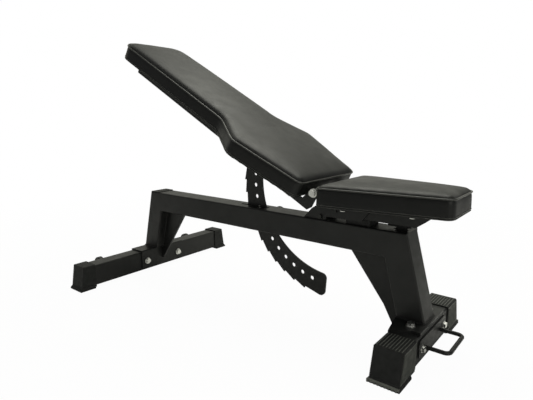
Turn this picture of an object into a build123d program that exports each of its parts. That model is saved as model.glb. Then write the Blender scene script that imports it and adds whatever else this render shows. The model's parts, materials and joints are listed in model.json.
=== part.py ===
from build123d import *
import math
import os

# Adjustable weight bench, in millimetres.
# X runs from the head end to the seat end, Y to the user's left, Z up from the floor.
# Lengths along X are first laid out from the middle of the rear crossbar; the finished
# pieces are then shifted so that the origin is the middle of the bench's footprint.

# ---------------------------------------------------------------- driving sizes: frame
BEAM_W = 76.0            # main beam, rear post and front leg: square tube
BEAM_H = 75.0
TUBE_WALL = 3.0
TUBE_CORNER = 5.0        # outside corner radius of the tubes
BEAM_TOP_Z = 328.0
BEAM_REAR_X = 26.0       # outer mitre corner above the rear post
BEAM_FRONT_X = 1101.0    # outer mitre corner above the front leg
REAR_LEAN = 14.2         # rear post leans back towards its foot, degrees
FRONT_LEAN = 14.65       # front leg leans forward towards its foot, degrees

# Foot crossbars and their rubber caps: depth of the bar along X, its height, the rubber
# under it, the width over both caps' tops, a cap's length along its top, the cap's wall,
# how far its sole reaches out past its top and how far in the sole stops short.
REAR_FOOT = {"depth": 60.0, "height": 78.0, "sole": 8.0, "span": 714.0, "cap": 47.0,
             "rubber": 4.0, "toe": 18.0, "heel": 6.0}
FRONT_FOOT = {"depth": 70.0, "height": 76.0, "sole": 8.0, "span": 404.0, "cap": 78.0,
              "rubber": 3.0, "toe": 27.0, "heel": 30.0}
FOOT_BAR_WALL = 3.0
FOOT_CORNER = 5.0
FRONT_BAR_AHEAD = 35.0   # middle of the front crossbar ahead of the beam's front corner
CAP_END_T = 5.0
SOLE_FLARE = 4.0
SOLE_LIP = 5.0
RUBBER_FIT = 0.1         # gap between a rubber cap and its crossbar

SADDLE_T = 5.0
SADDLE_BEND_R = 4.0
SADDLE_W = 210.0
SADDLE_DROP = 71.0       # how far the saddle's cheeks reach down from the crossbar's top
SADDLE_BOLT_Y = 80.0
SADDLE_BOLT_DROP = 41.0
GUSSET_T = 8.0
REAR_GUSSET_RUN = 167.0  # length of the rear gusset along the beam, from the mitre's corner
REAR_GUSSET_DROP = 44.0  # tip of the rear gusset below the crossbar's top
BASE_PLATE_T = 8.0
BASE_PLATE_HALF_W = 123.0   # at its rear corners
BASE_NOSE_HALF_W = 89.0     # at its front edge
BASE_NOSE_LEN = 24.0        # length of the straight nose
BASE_REAR_OVERHANG = 2.5    # past the crossbar's rear face at the corners
BASE_TAIL_OVERHANG = 16.5   # past the crossbar's rear face under the leg
BASE_TAIL_HALF_W = 45.0
BASE_BOLT_Y = 65.0
FRONT_GUSSET_RUN = 183.0    # length of the front gusset along the beam, from the mitre's corner
FRONT_GUSSET_KNEE = (68.5, 19.0)   # corner of its free edge: behind the crossbar, above its top
FRONT_GUSSET_TOE = (37.5, 38.0)    # lower corner: behind the crossbar, below its top

HANDLE_PLATE = (4.0, 206.0, 50.0)  # thickness, width, height
HANDLE_PLATE_DROP = 34.0    # middle of the handle's plate below the crossbar's top
HANDLE_PLATE_R = 12.0
HANDLE_ROD_D = 11.0
HANDLE_W = 122.0
HANDLE_REACH = 60.5
HANDLE_DROP = 39.5
HANDLE_BEND = 14.0
HANDLE_BOLT_Y = 84.0
HANDLE_BOLT_DROP = 34.0

WHEEL_D = 58.0
WHEEL_W = 20.0
WHEEL_BEHIND = 50.0      # wheel centre behind the rear crossbar's face
WHEEL_Y = 225.0
WHEEL_GROUND_GAP = 17.0  # under the wheels while the bench stands on its feet
WHEEL_AXLE_D = 10.0
WHEEL_HUB_D = 24.0
WHEEL_RIM_T = 8.0
WHEEL_DISH = 5.0
WHEEL_BEVEL = 3.0
WHEEL_CHEEK_T = 4.0
WHEEL_SIDE_GAP = 1.2
WHEEL_CHEEK_H = 34.0
AXLE_HEAD_D = 16.0
AXLE_HEAD_T = 3.2
STOP_PAD_LEN = 46.0      # rubber pad under the lowered backrest
STOP_PAD_INSET = 2.0
STOP_PAD_CORNER = 3.0

# ---------------------------------------------------------------- driving sizes: hinge
PIVOT_X = 864.0          # the backrest and the seat turn on one axle
PIVOT_ABOVE_BEAM = 94.0
RUN_FIT = 0.05           # radial running clearance
EDGE_GAP = 0.3           # gap kept between pieces that turn past each other
UPRIGHT_T = 6.0
UPRIGHT_OUT_Y = 32.0     # outer faces of the uprights
# Uprights: places behind (-) or ahead of the hinge, and above the beam.
UPRIGHT_FOOT = (-88.0, -13.0)
UPRIGHT_KNEES = ((-61.0, 30.0), (-26.0, 52.0))
PIVOT_TUBE_D = 19.0
PIVOT_TUBE_END = 1.0     # it stands this far out of the uprights
ARM_T = 6.0
ARM_IN_Y = 35.0
YOKE_IN_Y = 113.0
YOKE_T = 6.0
HINGE_BOSS_R = 13.0      # rounded ends of the uprights, arms and yoke plates
SPACER_D = 22.0
CROSS_BOLT = (-30.6, 8.0)   # behind the hinge, above the beam

# ---------------------------------------------------------------- driving sizes: backrest
BACK_ANGLE = 28.8        # backrest above the horizontal, as built
BACK_PAD_TOP = 16.0      # heights above the hinge line with the backrest flat
BACK_PAD_T = 50.0
BACK_HEAD_U = 965.0      # distances from the hinge along the backrest
BACK_TAIL_U = 29.0
BACK_NECK_U = 388.0
BACK_SHOULDER_U = 268.0
BACK_HEAD_HALF = 133.0
BACK_SHOULDER_HALF = 201.0
BACK_TAIL_HALF = 154.0
BACK_HEAD_R = 60.0       # corner radii of the same outline
BACK_NECK_R = 80.0
BACK_SHOULDER_R = 50.0
BACK_TAIL_R = 24.0
PAD_EDGE_R = 9.0
BOARD_T = 12.0
BOARD_INSET = 9.0
SCREW_SHORT = 1.0        # a pad screw ends this far below the board's top
POCKET_GAP = 0.3         # between a plywood board and the cushion around it
STRAP_T = 5.0
STRAP_W = 40.0
STRAP_CORNER_R = 8.0
SPINE_W = 88.0
SPINE_H = 52.5
SPINE_WALL = 2.5
SPINE_START_U = 100.0
SPINE_END_U = 945.0
PLUG_T = 3.0
PLUG_DEPTH = 18.0
YOKE_TUBE_D = 36.0       # along the backrest
YOKE_TUBE_H = 20.0
YOKE_TUBE_WALL = 3.0
YOKE_TUBE_CORNER = 4.0
YOKE_DROP = 54.0         # how far the yoke plates hang below the hinge line
YOKE_HEEL_U = 62.0       # lower rear corner of a yoke plate
YOKE_TOE_U = -4.0        # lower front corner
YOKE_TOE_RISE = 14.0     # its front edge starts this far above the lower edge
YOKE_TAIL_STEP = 4.0     # its top edge runs this far past the cushion's tail
BACK_STRAPS = ((190.0, 150.0), (520.0, 110.0), (850.0, 110.0))   # place, half length

# ---------------------------------------------------------------- driving sizes: arc plate
ARC_T = 6.0
ARC_HOLE_R = 307.5
ARC_IN_R = 277.0
ARC_OUT_R = 353.5
ARC_TOOTH = 7.0
ARC_STEP = 7.2           # degrees from one backrest position to the next
ARC_COUNT = 12
ARC_LEDGE_LEAD = 2.9     # a tooth's ledge above its hole, degrees
ARC_TAIL = 9.6           # plate past the last hole, degrees
ARC_END_FILLET = 16.0
ARC_SLOT_W = 12.0
ARC_SLOT_GAP = 8.0
ARC_TOOTH_ROOM = 24.0    # more slot behind the arc, where its teeth rise through the beam's top
BACK_PIN_DROP = 38.0     # pull pin below the beam's top

# ---------------------------------------------------------------- driving sizes: seat
SEAT_RISE = 18.0         # seat's top above the hinge
SEAT_PAD_T = 54.0
SEAT_REAR_GAP = 0.5      # between the seat cushion and the yoke plates' bosses
SEAT_FRONT_AHEAD = 363.0    # front edge ahead of the hinge
SEAT_REAR_HALF = 137.0
SEAT_FRONT_HALF = 84.0
SEAT_REAR_R = 12.0
SEAT_FRONT_R = 22.0
RAIL_W = 70.0
RAIL_H = 35.0
RAIL_WALL = 2.5
RAIL_REAR_AHEAD = 14.0   # rail's rear end ahead of the hinge
RAIL_FRONT_BEHIND = 61.0    # rail's front top corner behind the cushion's front edge
RAIL_FRONT_CUT = 44.0    # the rail's raked front end
RAIL_CORNER = 4.0
ARM_BELOW_RAIL = 5.0
ARM_REAR_BEHIND = 12.0   # arm's rear edge behind the hinge
ARM_FRONT_AHEAD = 137.0
ARM_FRONT_CUT = 29.0
ARM_BOLT = (24.4, 19.0)  # ahead of the hinge, below the rail's top
SEAT_STRAPS = ((76.0, 110.0), (256.0, 78.0))    # ahead of the hinge, half length
REST_X = (54.0, 128.0)   # rubber rest on the beam under the seat rail, ahead of the hinge
REST_W = 60.0
SECTOR_T = 8.0
SECTOR_HALF_W = 14.0
SECTOR_STEP = 5.5        # degrees from one seat position to the next
SECTOR_COUNT = 3
SECTOR_END_R = 12.0      # rounded end about the last hole
SECTOR_ROOT = (170.0, 236.0)    # where it meets the rail, ahead of the hinge
SECTOR_FLARE = 6.0       # height of the wide root's lower edge above the beam
SEAT_PIN_AHEAD = 197.0   # pull pin ahead of the hinge
SEAT_PIN_DROP = 20.0     # and below the beam's top
SECTOR_SLOT_W = 12.0
SECTOR_SLOT_GAP = 4.0

# ---------------------------------------------------------------- driving sizes: pull pins
BACK_PIN = {"pin": 13.0, "stem": 10.0, "barrel": 24.0, "chamber": 19.0, "knob": 50.0}
SEAT_PIN = {"pin": 9.0, "stem": 7.0, "barrel": 18.0, "chamber": 14.0, "knob": 38.0}
PIN_TRAVEL = 18.0
PIN_GUIDE = 18.0         # length of the close bore
PIN_COLLAR_T = 4.0
PIN_CAP_T = 4.0
PIN_BARREL_END_Y = 62.0
PIN_KNOB_T = 22.0
PIN_CLEAR = 3.0          # barrel and drawn pin stay this far off the plate
SPRING_WIRE = 1.4
SPRING_TURNS = 5
SPRING_LEN = 11.0
LOCK_HOLE_GAP = 0.5      # radial gap between a pin and the holes of its plate
PIN_TIP_BEVEL = 1.5
KNOB_NECK_D = 15.0
KNOB_NECK_T = 5.0
KNOB_BEVEL = 4.0
KNOB_SOCKET = 15.0       # depth of the stem's hole in the knob

# ---------------------------------------------------------------- fasteners: size, hex, head
M8 = {"d": 8.0, "hex": 13.0, "head": 5.3, "nut": 6.5, "washer": (17.0, 1.6)}
M10 = {"d": 10.0, "hex": 16.0, "head": 6.4, "nut": 8.4, "washer": (21.0, 2.0)}
M12 = {"d": 12.0, "hex": 18.0, "head": 7.5, "nut": 10.8, "washer": (25.0, 2.5)}
HEX_RIM = 1.09           # a hex head's corners are turned down to this share of its width
BOLT_HOLE_GAP = 0.5
THREAD_GAP = 0.05
THREAD_END = 3.0         # thread left showing past a nut

# ---------------------------------------------------------------- sizes that follow
TOL = 1e-6
PLANE_REACH = 1.0        # cutters run this far past the faces they cut
BEAM_LOW_Z = BEAM_TOP_Z - BEAM_H
REAR_BAR_TOP_Z = REAR_FOOT["sole"] + REAR_FOOT["height"]
FRONT_BAR_TOP_Z = FRONT_FOOT["sole"] + FRONT_FOOT["height"]
HALF_BAR = REAR_FOOT["depth"] / 2
HALF_FRONT_BAR = FRONT_FOOT["depth"] / 2
FRONT_BAR_X = BEAM_FRONT_X + FRONT_BAR_AHEAD
SADDLE_TOP_Z = REAR_BAR_TOP_Z + SADDLE_T
BASE_TOP_Z = FRONT_BAR_TOP_Z + BASE_PLATE_T
REAR_SLOPE = math.tan(math.radians(REAR_LEAN))
FRONT_SLOPE = math.tan(math.radians(FRONT_LEAN))
POST_RUN = BEAM_W / math.cos(math.radians(REAR_LEAN))
LEG_RUN = BEAM_W / math.cos(math.radians(FRONT_LEAN))
REAR_INNER_X = BEAM_REAR_X - REAR_SLOPE * BEAM_H + POST_RUN
FRONT_INNER_X = BEAM_FRONT_X + FRONT_SLOPE * BEAM_H - LEG_RUN
PIVOT_Z = BEAM_TOP_Z + PIVOT_ABOVE_BEAM
AXLE_D = M12["d"]
BACK_PAD_LOW = BACK_PAD_TOP - BACK_PAD_T
SPINE_TOP = BACK_PAD_LOW - STRAP_T
SPINE_LOW = SPINE_TOP - SPINE_H
STOP_PAD_T = PIVOT_Z + SPINE_LOW - BEAM_TOP_Z - EDGE_GAP
SEAT_TOP_Z = PIVOT_Z + SEAT_RISE
SEAT_LOW_Z = SEAT_TOP_Z - SEAT_PAD_T
SEAT_REAR_X = PIVOT_X + HINGE_BOSS_R + SEAT_REAR_GAP
SEAT_FRONT_X = PIVOT_X + SEAT_FRONT_AHEAD
RAIL_TOP_Z = SEAT_LOW_Z - STRAP_T
RAIL_LOW_Z = RAIL_TOP_Z - RAIL_H
RAIL_REAR_X = PIVOT_X + RAIL_REAR_AHEAD
RAIL_FRONT_X = SEAT_FRONT_X - RAIL_FRONT_BEHIND
REST_T = RAIL_LOW_Z - EDGE_GAP - BEAM_TOP_Z
BACK_PIN_Z = BEAM_TOP_Z - BACK_PIN_DROP
PIN_ANGLE = -math.degrees(math.asin((PIVOT_Z - BACK_PIN_Z) / ARC_HOLE_R))
BACK_PIN_X = PIVOT_X - ARC_HOLE_R * math.cos(math.radians(PIN_ANGLE))
SEAT_PIN_X = PIVOT_X + SEAT_PIN_AHEAD
SEAT_PIN_Z = BEAM_TOP_Z - SEAT_PIN_DROP
SECTOR_R = math.hypot(SEAT_PIN_AHEAD, PIVOT_Z - SEAT_PIN_Z)
SECTOR_PIN_ANGLE = -math.degrees(math.asin((PIVOT_Z - SEAT_PIN_Z) / SECTOR_R))
ARM_OUT_Y = ARM_IN_Y + ARM_T
YOKE_OUT_Y = YOKE_IN_Y + YOKE_T
WHEEL_X = -HALF_BAR - WHEEL_BEHIND
WHEEL_Z = WHEEL_D / 2 + WHEEL_GROUND_GAP
BAR_FACE_X = FRONT_BAR_X + HALF_FRONT_BAR
HANDLE_FACE_X = BAR_FACE_X + HANDLE_PLATE[0]
HANDLE_Z = FRONT_BAR_TOP_Z - HANDLE_DROP
HANDLE_BOLT_Z = FRONT_BAR_TOP_Z - HANDLE_BOLT_DROP
FOREMOST_X = max(SEAT_FRONT_X, HANDLE_FACE_X + HANDLE_REACH + HANDLE_ROD_D / 2)
BACK_TURN = math.radians(BACK_ANGLE)
REARMOST_X = min(WHEEL_X - WHEEL_D / 2,
                 PIVOT_X - BACK_HEAD_U * math.cos(BACK_TURN) + BACK_PAD_LOW * math.sin(BACK_TURN))
FOOTPRINT_MID_X = (FOREMOST_X + REARMOST_X) / 2
SIDES = {"left": 1.0, "right": -1.0}


# ---------------------------------------------------------------- shape helpers
def side_face(points):
    """Flat outline in the X-Z plane."""
    return Plane.XZ * make_face(Polyline(*points, close=True))


def side_plate(face, thickness, middle_y=0.0):
    """Plate standing along the bench, cut from an X-Z outline."""
    return Pos(0, middle_y, 0) * extrude(face, amount=thickness / 2, both=True)


def block(x, y, z):
    """Box between two values on each axis."""
    return Pos((x[0] + x[1]) / 2, (y[0] + y[1]) / 2, (z[0] + z[1]) / 2) * Box(
        abs(x[1] - x[0]), abs(y[1] - y[0]), abs(z[1] - z[0]))


def round_x(y, z, d, x0, x1):
    return Pos((x0 + x1) / 2, y, z) * Rot(0, 90, 0) * Cylinder(d / 2, abs(x1 - x0))


def round_y(x, z, d, y0, y1):
    return Pos(x, (y0 + y1) / 2, z) * Rot(90, 0, 0) * Cylinder(d / 2, abs(y1 - y0))


def round_z(x, y, d, z0, z1):
    return Pos(x, y, (z0 + z1) / 2) * Cylinder(d / 2, abs(z1 - z0))


def box_tube(start, end, width, height, wall, corner):
    """Rectangular tube from start to end; width lies along Y."""
    run = Vector(*end) - Vector(*start)
    plane = Plane(origin=start, x_dir=(0, 1, 0), z_dir=run)
    outer = extrude(plane * RectangleRounded(width, height, corner), amount=run.length)
    inner = extrude(
        plane * RectangleRounded(width - 2 * wall, height - 2 * wall, corner - wall / 2),
        amount=run.length)
    return outer - inner


def cut_above(shape, point, normal):
    """Keep the half of a shape that lies behind a plane."""
    return split(shape, bisect_by=Plane(origin=point, z_dir=normal), keep=Keep.BOTTOM)


def hexagon(size, length, origin, direction):
    plane = Plane(origin=origin, z_dir=direction)
    return extrude(plane * RegularPolygon(size / 2, 6, major_radius=False), amount=length)


def disc(d, length, origin, direction):
    return extrude(Plane(origin=origin, z_dir=direction) * Circle(d / 2), amount=length)


def opposite(direction):
    return tuple(-value for value in direction)


def bolt(size, length, seat, direction):
    """Hex bolt whose head bears at the seat and whose shank runs along direction."""
    head = hexagon(size["hex"], size["head"], seat, opposite(direction))
    rim = disc(size["hex"] * HEX_RIM, size["head"], seat, opposite(direction))
    return (head & rim) + disc(size["d"], length, seat, direction)


def nut(size, seat, direction):
    """Hex nut that bears at the seat and reaches away along direction."""
    bore = disc(size["d"] + 2 * THREAD_GAP, size["nut"], seat, direction)
    return hexagon(size["hex"], size["nut"], seat, direction) - bore


def washer(size, seat, direction):
    """Washer that lies on the seat and reaches away along direction."""
    outer, thick = size["washer"]
    bore = disc(size["d"] + 2 * BOLT_HOLE_GAP, thick, seat, direction)
    return disc(outer, thick, seat, direction) - bore


def bolt_hole_d(size):
    return size["d"] + 2 * BOLT_HOLE_GAP


def polar(radius, angle, side=-1.0):
    """Point on an arc about the hinge; side -1 is towards the head end, +1 the seat end."""
    turn = math.radians(angle)
    return (PIVOT_X + side * radius * math.cos(turn), PIVOT_Z + radius * math.sin(turn))


def back_point(u, n):
    """Place on the flat backrest: u from the hinge to the head, n above the hinge line."""
    return (PIVOT_X - u, PIVOT_Z + n)


def raise_back(shape):
    """Turn a piece of the flat backrest up to the angle it is built at."""
    return shape.rotate(Axis((PIVOT_X, 0, PIVOT_Z), (0, 1, 0)), BACK_ANGLE)


def near_vertices(face, places, reach):
    """Corners of a side outline that lie near any of the given X-Z places."""
    return [v for v in face.vertices()
            if any(math.hypot(v.X - x, v.Z - z) < reach for x, z in places)]


def group(pieces):
    return Compound(children=list(pieces))


parts = {}


# ---------------------------------------------------------------- frame weldment
def main_beam():
    middle_z = BEAM_TOP_Z - BEAM_H / 2
    beam = box_tube((BEAM_REAR_X - BEAM_H, 0, middle_z), (BEAM_FRONT_X + BEAM_H, 0, middle_z),
                    BEAM_W, BEAM_H, TUBE_WALL, TUBE_CORNER)
    beam = cut_above(beam, (BEAM_REAR_X, 0, BEAM_TOP_Z), mitre_normal(-1))
    beam = cut_above(beam, (BEAM_FRONT_X, 0, BEAM_TOP_Z), mitre_normal(1))
    slot_half = ARC_SLOT_W / 2
    for low, high, room in ((BEAM_TOP_Z - TUBE_WALL, BEAM_TOP_Z, ARC_TOOTH_ROOM),
                            (BEAM_LOW_Z, BEAM_LOW_Z + TUBE_WALL, 0.0)):
        far_x = PIVOT_X - math.sqrt(ARC_OUT_R ** 2 - (PIVOT_Z - high) ** 2) - ARC_SLOT_GAP - room
        near_x = PIVOT_X - math.sqrt(ARC_IN_R ** 2 - (PIVOT_Z - low) ** 2) + ARC_SLOT_GAP
        beam -= block((far_x, near_x), (-slot_half, slot_half),
                      (low - PLANE_REACH, high + PLANE_REACH))
    inner, outer = SECTOR_R - SECTOR_HALF_W, SECTOR_R + SECTOR_HALF_W
    drop = PIVOT_Z - BEAM_TOP_Z
    slot = (PIVOT_X + math.sqrt(inner ** 2 - (drop + TUBE_WALL) ** 2) - SECTOR_SLOT_GAP,
            PIVOT_X + math.sqrt(outer ** 2 - drop ** 2) + SECTOR_SLOT_GAP)
    beam -= block(slot, (-SECTOR_SLOT_W / 2, SECTOR_SLOT_W / 2),
                  (BEAM_TOP_Z - TUBE_WALL - PLANE_REACH, BEAM_TOP_Z + PLANE_REACH))
    for x, z, spec in ((BACK_PIN_X, BACK_PIN_Z, BACK_PIN), (SEAT_PIN_X, SEAT_PIN_Z, SEAT_PIN)):
        beam -= round_y(x, z, spec["barrel"], BEAM_W / 4, BEAM_W)
    return beam


def mitre_normal(side):
    """Normal of the mitre between the beam and its rear (-1) or front (+1) leg."""
    if side < 0:
        run = Vector(REAR_INNER_X - BEAM_REAR_X, 0, -BEAM_H)
    else:
        run = Vector(FRONT_INNER_X - BEAM_FRONT_X, 0, -BEAM_H)
    return tuple(run.cross(Vector(0, 1, 0)).normalized() * side)


def leaning_leg(corner_x, slope, run, side, low_z):
    """Square tube from the mitre down to the piece it stands on."""
    def centre(z):
        return (corner_x + side * (slope * (BEAM_TOP_Z - z) - run / 2), 0, z)
    tube = box_tube(centre(BEAM_TOP_Z + BEAM_H), centre(low_z - BEAM_H),
                    BEAM_W, BEAM_W, TUBE_WALL, TUBE_CORNER)
    tube = cut_above(tube, (corner_x, 0, BEAM_TOP_Z), opposite(mitre_normal(side)))
    return cut_above(tube, (0, 0, low_z), (0, 0, -1))


def rear_gusset():
    post_front_x = BEAM_REAR_X - REAR_SLOPE * (BEAM_TOP_Z - SADDLE_TOP_Z) + POST_RUN
    saddle_x = HALF_BAR + SADDLE_T
    tip_z = REAR_BAR_TOP_Z - REAR_GUSSET_DROP
    outline = [(saddle_x, tip_z), (saddle_x, SADDLE_TOP_Z), (post_front_x, SADDLE_TOP_Z),
               (REAR_INNER_X, BEAM_LOW_Z), (BEAM_REAR_X + REAR_GUSSET_RUN, BEAM_LOW_Z),
               (saddle_x + GUSSET_T, tip_z)]
    return side_plate(side_face(outline), GUSSET_T)


def front_gusset():
    leg_rear_x = BEAM_FRONT_X + FRONT_SLOPE * (BEAM_TOP_Z - BASE_TOP_Z) - LEG_RUN
    bar_rear_x = FRONT_BAR_X - HALF_FRONT_BAR
    tail_x = bar_rear_x - BASE_TAIL_OVERHANG
    toe_z = FRONT_BAR_TOP_Z - FRONT_GUSSET_TOE[1]
    knee = (bar_rear_x - FRONT_GUSSET_KNEE[0], FRONT_BAR_TOP_Z + FRONT_GUSSET_KNEE[1])
    outline = [(BEAM_FRONT_X - FRONT_GUSSET_RUN, BEAM_LOW_Z), (FRONT_INNER_X, BEAM_LOW_Z),
               (leg_rear_x, BASE_TOP_Z), (tail_x, BASE_TOP_Z), (tail_x, FRONT_BAR_TOP_Z),
               (bar_rear_x, FRONT_BAR_TOP_Z), (bar_rear_x, toe_z),
               (bar_rear_x - FRONT_GUSSET_TOE[0], toe_z), knee]
    return side_plate(side_face(outline), GUSSET_T)


def saddle_bolt_hole(side):
    return round_x(side * SADDLE_BOLT_Y, REAR_BAR_TOP_Z - SADDLE_BOLT_DROP, bolt_hole_d(M12),
                   -REAR_FOOT["depth"], REAR_FOOT["depth"])


def rear_saddle():
    low_z = REAR_BAR_TOP_Z - SADDLE_DROP
    outer = block((-HALF_BAR - SADDLE_T, HALF_BAR + SADDLE_T), (-SADDLE_W / 2, SADDLE_W / 2),
                  (low_z, SADDLE_TOP_Z))
    outer = fillet(outer.edges().filter_by(Axis.Y).group_by(Axis.Z)[-1], SADDLE_BEND_R)
    inner = block((-HALF_BAR, HALF_BAR), (-SADDLE_W, SADDLE_W),
                  (low_z - PLANE_REACH, REAR_BAR_TOP_Z))
    saddle = outer - inner
    for side in SIDES.values():
        saddle -= saddle_bolt_hole(side)
    return saddle


def crossbar(foot, middle_x):
    """Rectangular tube across the bench; its ends stop inside the rubber caps."""
    half = foot["span"] / 2 - CAP_END_T
    middle_z = foot["sole"] + foot["height"] / 2
    plane = Plane(origin=(middle_x, -half, middle_z), x_dir=(1, 0, 0), z_dir=(0, 1, 0))
    outer = extrude(plane * RectangleRounded(foot["depth"], foot["height"], FOOT_CORNER),
                    amount=2 * half)
    inner = extrude(plane * RectangleRounded(foot["depth"] - 2 * FOOT_BAR_WALL,
                                             foot["height"] - 2 * FOOT_BAR_WALL,
                                             FOOT_CORNER - FOOT_BAR_WALL / 2), amount=2 * half)
    return outer - inner


def rear_crossbar():
    bar = crossbar(REAR_FOOT, 0)
    for side in SIDES.values():
        bar -= saddle_bolt_hole(side)
    return bar


def front_crossbar():
    bar = crossbar(FRONT_FOOT, FRONT_BAR_X)
    for side in SIDES.values():
        bar -= round_z(FRONT_BAR_X, side * BASE_BOLT_Y, bolt_hole_d(M12),
                       FRONT_BAR_TOP_Z - 2 * FOOT_BAR_WALL, FRONT_BAR_TOP_Z + PLANE_REACH)
        bar -= round_x(side * HANDLE_BOLT_Y, HANDLE_BOLT_Z, bolt_hole_d(M10),
                       FRONT_BAR_X, FRONT_BAR_X + FRONT_FOOT["depth"])
    return bar


def foot_cap(foot, middle_x, side):
    """Rubber cap over one crossbar end: its outer end leans out to a flared sole."""
    wall = foot["rubber"]
    end_y, in_y = foot["span"] / 2, foot["span"] / 2 - foot["cap"]
    foot_y, heel_y = end_y + foot["toe"] - SOLE_FLARE, in_y + foot["heel"]
    wide = foot["depth"] + 2 * wall
    bar_top_z = foot["sole"] + foot["height"]
    top_z, under_z = bar_top_z + wall, foot["sole"] - wall
    profile = [(in_y, top_z), (end_y, top_z), (foot_y, 0), (heel_y, 0), (heel_y, under_z),
               (in_y, under_z)]
    face = make_face(Polyline(*[(side * y, z) for y, z in profile], close=True))
    body = Pos(middle_x, 0, 0) * extrude(Plane.YZ * face, amount=wide / 2, both=True)
    body = fillet(body.edges().filter_by(Axis.Y).group_by(Axis.Z)[-1], wall)

    def layer(z, spread):
        out_y = foot_y + (end_y - foot_y) * z / top_z + spread
        return Pos(middle_x, side * (heel_y + out_y) / 2, z) * Rectangle(
            wide + 2 * spread, out_y - heel_y)
    sole = loft([layer(0, SOLE_FLARE), layer(SOLE_LIP, SOLE_FLARE)])
    skirt = loft([layer(SOLE_LIP, SOLE_FLARE), layer(SOLE_LIP + 2 * SOLE_FLARE, 0)])
    bar_y = side * (end_y - CAP_END_T + RUBBER_FIT)
    half = foot["depth"] / 2 + RUBBER_FIT
    pocket = block((middle_x - half, middle_x + half), (side * (in_y - PLANE_REACH), bar_y),
                   (foot["sole"] - RUBBER_FIT, bar_top_z + RUBBER_FIT))
    pocket = fillet(pocket.edges().filter_by(Axis.Y), FOOT_CORNER)
    return body + sole + skirt - pocket


def front_base_plate():
    bar_rear_x = FRONT_BAR_X - HALF_FRONT_BAR
    half = [(bar_rear_x - BASE_TAIL_OVERHANG, BASE_TAIL_HALF_W),
            (bar_rear_x - BASE_REAR_OVERHANG, BASE_PLATE_HALF_W),
            (BAR_FACE_X - BASE_NOSE_LEN, BASE_NOSE_HALF_W), (BAR_FACE_X, BASE_NOSE_HALF_W)]
    outline = half + [(x, -y) for x, y in reversed(half)]
    plate = extrude(Pos(0, 0, FRONT_BAR_TOP_Z) * make_face(Polyline(*outline, close=True)),
                    amount=BASE_PLATE_T)
    for side in SIDES.values():
        plate -= round_z(FRONT_BAR_X, side * BASE_BOLT_Y, bolt_hole_d(M12),
                         FRONT_BAR_TOP_Z - PLANE_REACH, BASE_TOP_Z + PLANE_REACH)
    return plate


def handle_plate():
    thick, wide, tall = HANDLE_PLATE
    middle_z = FRONT_BAR_TOP_Z - HANDLE_PLATE_DROP
    plate = block((BAR_FACE_X, BAR_FACE_X + thick), (-wide / 2, wide / 2),
                  (middle_z - tall / 2, middle_z + tall / 2))
    plate = fillet(plate.edges().filter_by(Axis.X), HANDLE_PLATE_R)
    for side in SIDES.values():
        plate -= round_x(side * HANDLE_BOLT_Y, HANDLE_BOLT_Z, bolt_hole_d(M10),
                         BAR_FACE_X - PLANE_REACH, BAR_FACE_X + thick + PLANE_REACH)
    return plate


def carry_handle():
    reach_x, half = HANDLE_FACE_X + HANDLE_REACH, HANDLE_W / 2
    path = FilletPolyline((HANDLE_FACE_X, -half, HANDLE_Z), (reach_x, -half, HANDLE_Z),
                          (reach_x, half, HANDLE_Z), (HANDLE_FACE_X, half, HANDLE_Z),
                          radius=HANDLE_BEND)
    start = Plane(origin=(HANDLE_FACE_X, -half, HANDLE_Z), z_dir=(1, 0, 0))
    return sweep(start * Circle(HANDLE_ROD_D / 2), path=path)


def beam_stop_pad():
    start_x = BEAM_REAR_X + STOP_PAD_INSET
    pad = block((start_x, start_x + STOP_PAD_LEN), (-BEAM_W / 2, BEAM_W / 2),
                (BEAM_TOP_Z, BEAM_TOP_Z + STOP_PAD_T))
    return fillet(pad.edges().filter_by(Axis.Z), STOP_PAD_CORNER)


# ---------------------------------------------------------------- transport wheels
def wheel_bracket(side):
    """Two cheeks on the back of the rear crossbar."""
    cheeks = []
    offset = WHEEL_W / 2 + WHEEL_SIDE_GAP + WHEEL_CHEEK_T / 2
    for lean in SIDES.values():
        middle_y = side * WHEEL_Y + lean * offset
        root = [(-HALF_BAR, WHEEL_Z - WHEEL_CHEEK_H / 2), (-HALF_BAR, WHEEL_Z + WHEEL_CHEEK_H / 2),
                (WHEEL_X, WHEEL_Z + WHEEL_HUB_D / 2), (WHEEL_X, WHEEL_Z - WHEEL_HUB_D / 2)]
        cheek = side_plate(side_face(root), WHEEL_CHEEK_T, middle_y)
        cheek += round_y(WHEEL_X, WHEEL_Z, WHEEL_HUB_D, middle_y - WHEEL_CHEEK_T / 2,
                         middle_y + WHEEL_CHEEK_T / 2)
        cheek -= round_y(WHEEL_X, WHEEL_Z, WHEEL_AXLE_D + 2 * THREAD_GAP,
                         middle_y - WHEEL_CHEEK_T, middle_y + WHEEL_CHEEK_T)
        cheeks.append(cheek)
    return cheeks


def transport_wheel(side):
    radius, half = WHEEL_D / 2, WHEEL_W / 2
    bore = WHEEL_AXLE_D / 2 + RUN_FIT
    hub, rim = WHEEL_HUB_D / 2, radius - WHEEL_RIM_T
    floor = half - WHEEL_DISH
    upper = [(bore, half), (hub, half), (hub, floor), (rim, floor), (rim, half),
             (radius - WHEEL_BEVEL, half), (radius, half - WHEEL_BEVEL)]
    profile = upper + [(r, -h) for r, h in reversed(upper)]
    wheel = revolve(Plane.XZ * make_face(Polyline(*profile, close=True)), Axis.Z)
    return Pos(WHEEL_X, side * WHEEL_Y, WHEEL_Z) * Rot(90, 0, 0) * wheel


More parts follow.
